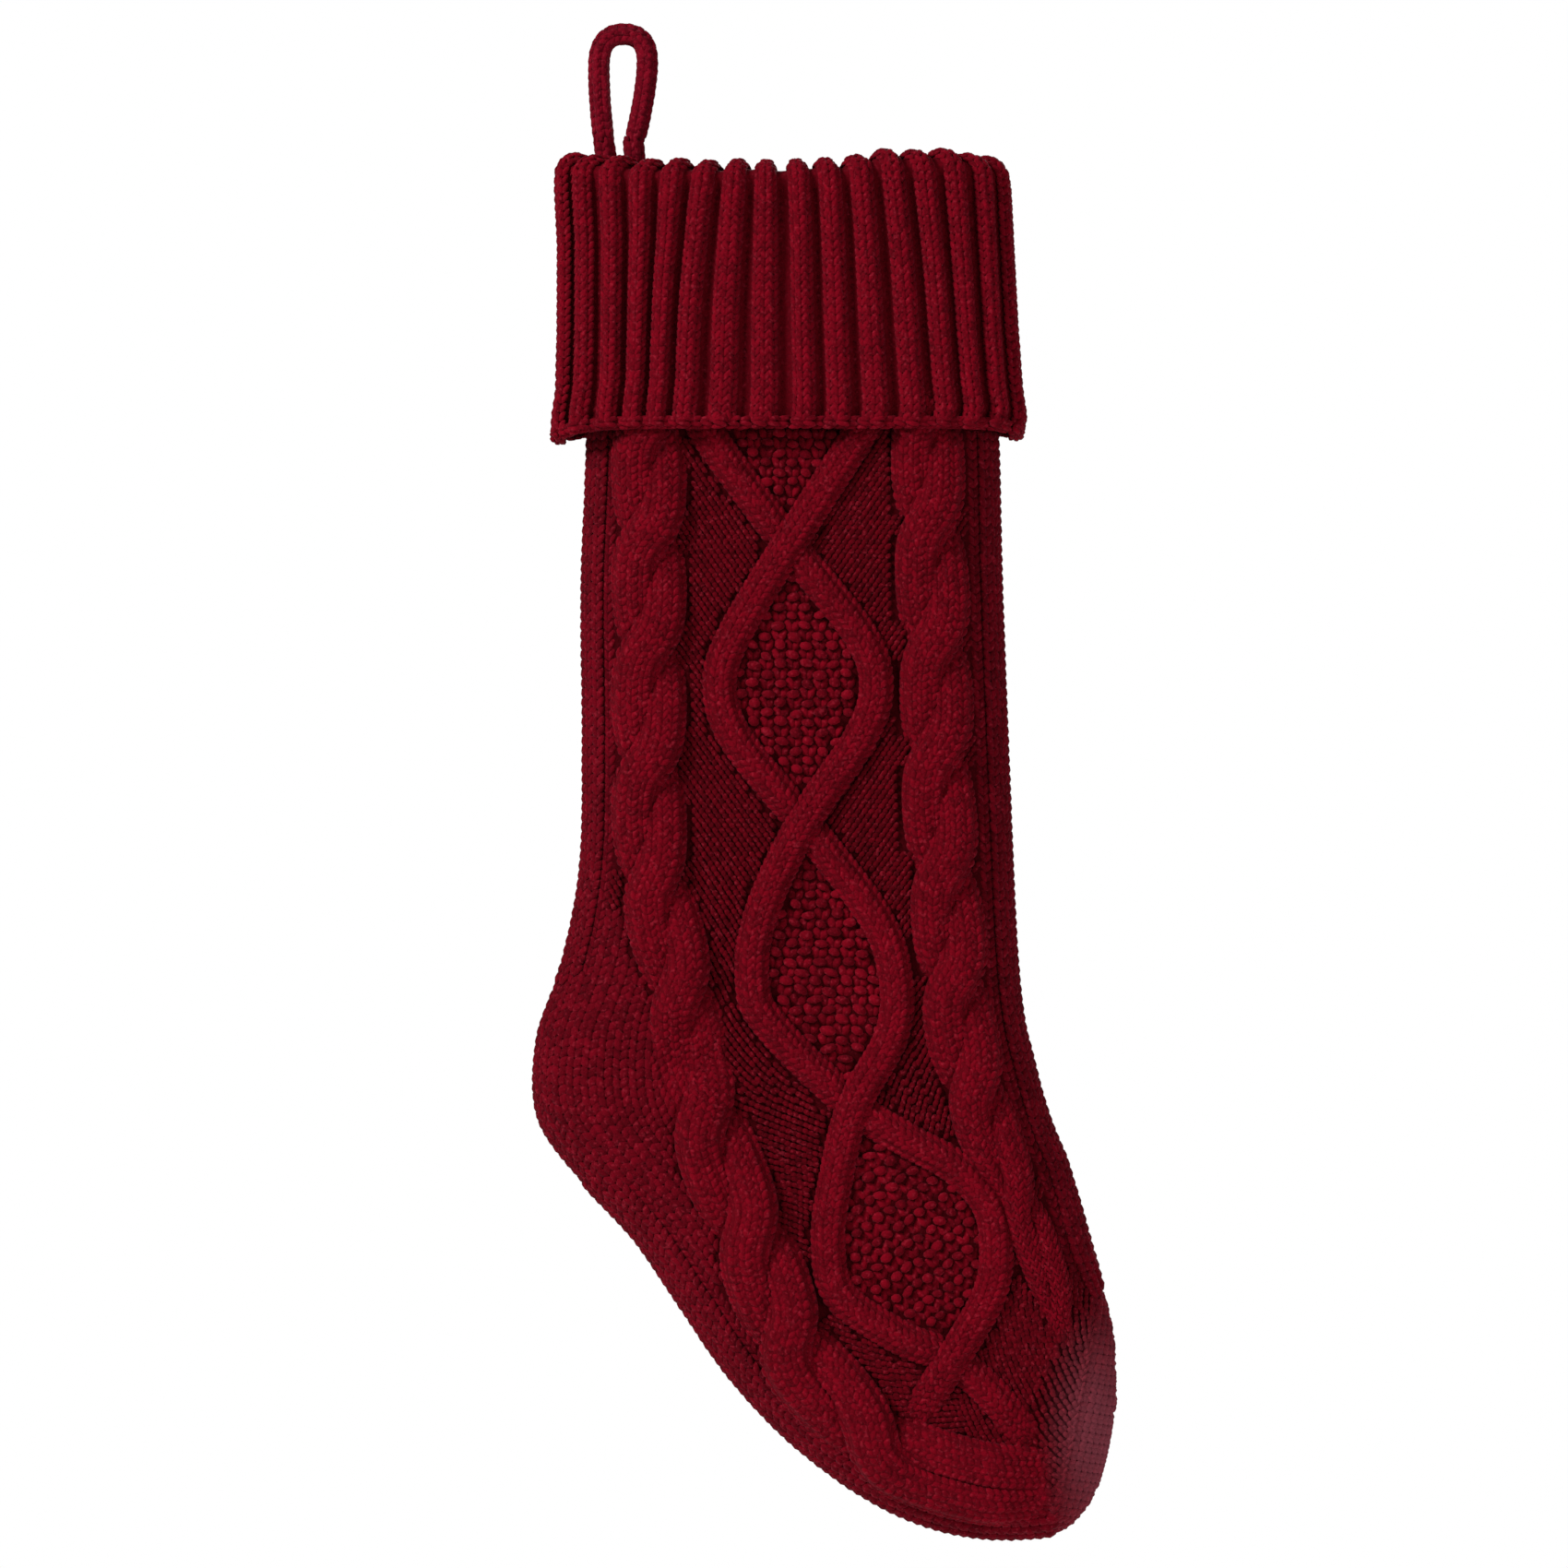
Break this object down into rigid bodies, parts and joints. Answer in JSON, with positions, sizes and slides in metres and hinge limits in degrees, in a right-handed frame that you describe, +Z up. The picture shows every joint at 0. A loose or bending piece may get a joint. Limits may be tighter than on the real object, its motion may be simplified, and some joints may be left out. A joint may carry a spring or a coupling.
{
  "type": "christmas stocking",
  "caption": "Cable-knit hanging stocking with a ribbed turned-down cuff, lattice and rope cables, a heel cup, a toe cap and a knitted cord loop.",
  "frame": {"origin": "the point inside the top of the hanging loop where it rests on its hook", "axes": "+Z up, -Y towards the front with the cables, +X towards the toe"},
  "size_m": [0.1952, 0.0574, 0.5059],
  "materials": {
    "loop_yarn": "knitted yarn cord, dark red",
    "sewing_yarn": "sewn yarn, dark red",
    "rib_knit": "ribbed knit, dark red",
    "panel_knit": "purl knit ground, dark red",
    "plain_knit": "plain knit, dark red",
    "cable_knit": "raised cable knit, dark red",
    "seed_knit": "seed stitch, dark red"
  },
  "bodies": {
    "loop": {"hanging_loop": "loop_yarn"},
    "stocking": {"loop_tail_back": "loop_yarn", "loop_tail_front": "loop_yarn", "loop_tack": "sewing_yarn", "cuff_rib": "rib_knit", "cuff_fold": "rib_knit", "cuff_hem": "rib_knit", "cuff_seam": "sewing_yarn", "mouth_rib": "rib_knit", "front_panel": "panel_knit", "back_panel": "panel_knit", "heel_cup": "plain_knit", "toe_cap": "plain_knit", "back_seam": "sewing_yarn", "instep_seam": "sewing_yarn", "toe_seam": "sewing_yarn", "back_cable_a": "cable_knit", "back_cable_b": "cable_knit", "front_cable_a": "cable_knit", "front_cable_b": "cable_knit", "foot_cable_a": "cable_knit", "foot_cable_b": "cable_knit", "lattice_band_a": "cable_knit", "lattice_band_b": "cable_knit", "seed_fill_top": "seed_knit", "seed_fill_leg": "seed_knit", "seed_fill_ankle": "seed_knit", "seed_fill_foot": "seed_knit"}
  },
  "joints": [
    {"name": "swing", "type": "hinge", "parent": "loop", "child": "stocking", "pos_m": [-0.0013, 0, -0.0323], "axis": [1, 0, 0], "range_deg": [-75, 75]}
  ]
}
